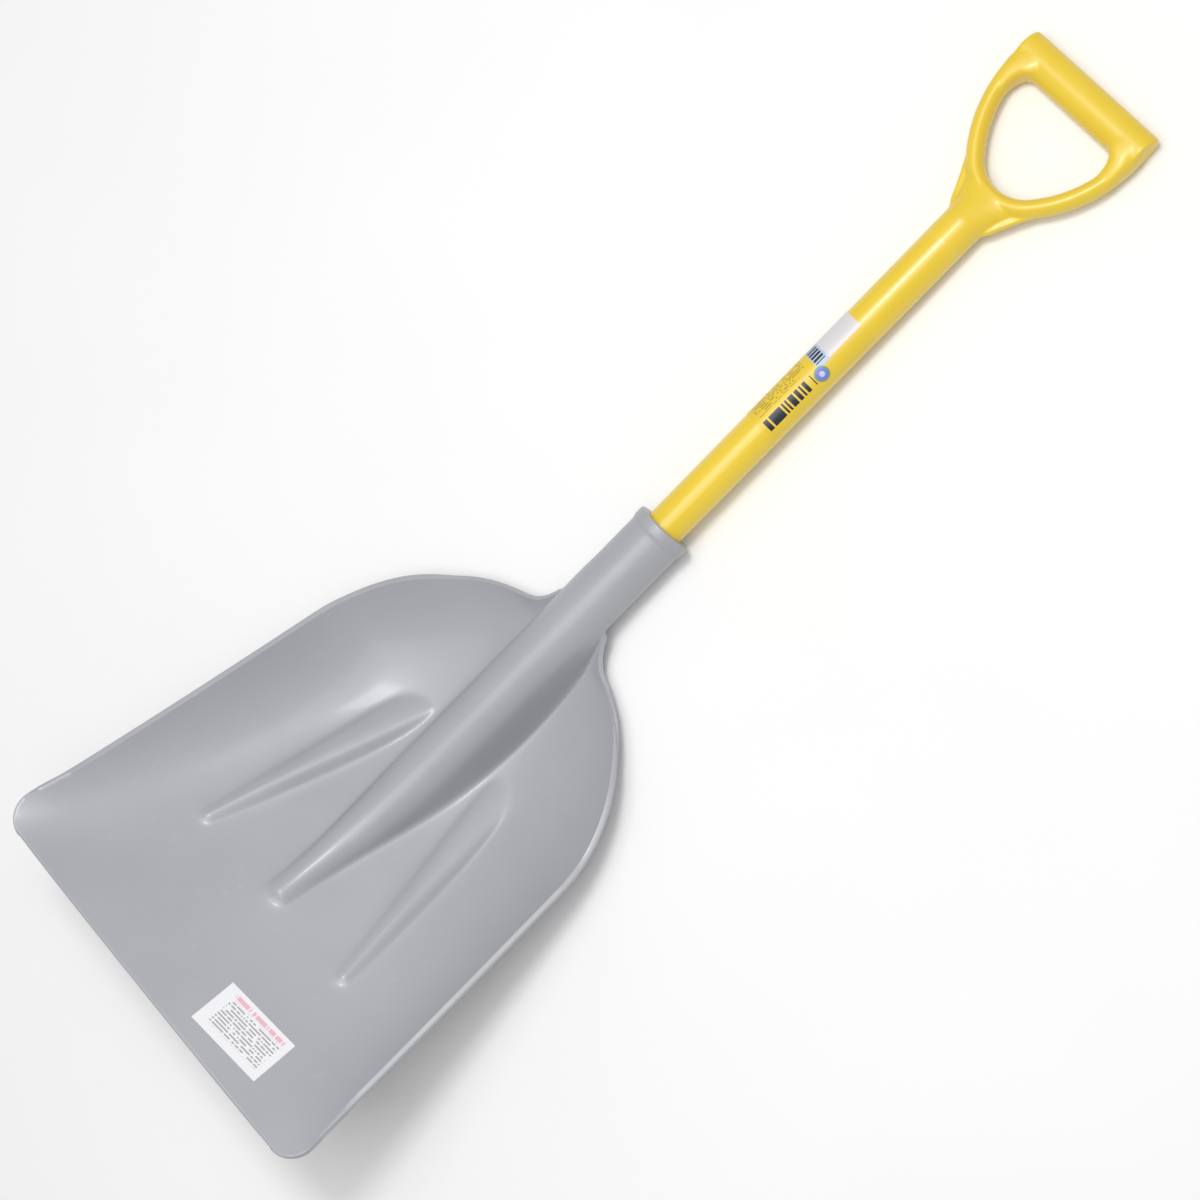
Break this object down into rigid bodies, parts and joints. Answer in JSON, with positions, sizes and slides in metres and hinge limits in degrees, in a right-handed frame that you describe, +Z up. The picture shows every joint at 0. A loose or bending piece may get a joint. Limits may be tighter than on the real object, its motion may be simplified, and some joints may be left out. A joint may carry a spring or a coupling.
{
  "type": "grain scoop shovel",
  "caption": "Wide dished plastic scoop blade with floor ribs and an integral socket, on a round plastic-clad shaft ending in a D-grip.",
  "frame": {"origin": "centre of the whole scoop's footprint, on the ground it lies on, face up, resting on the blade's heel and the grip", "axes": "+Y from the blade's front edge towards the D-grip, +Z up, +X to the right seen from the grip"},
  "size_m": [0.389, 1.0504, 0.1783],
  "materials": {
    "grey_moulding": "satin grey polyethylene with fine moulding texture",
    "yellow_sleeve": "glossy yellow plastic sleeve with faint draw lines",
    "yellow_grip": "semi-gloss yellow moulded plastic",
    "timber_core": "plain turned hardwood, unvarnished",
    "zinc_screw": "zinc-plated self-tapping screw",
    "shaft_label": "printed yellow and white paper label under clear film",
    "blade_label": "printed white paper label"
  },
  "bodies": {
    "root": {"scoop_blade": "grey_moulding", "shaft_sleeve": "yellow_sleeve", "shaft_core": "timber_core", "d_grip": "yellow_grip", "socket_screws": "zinc_screw", "grip_screw": "zinc_screw", "shaft_label": "shaft_label", "blade_label": "blade_label"}
  },
  "joints": []
}
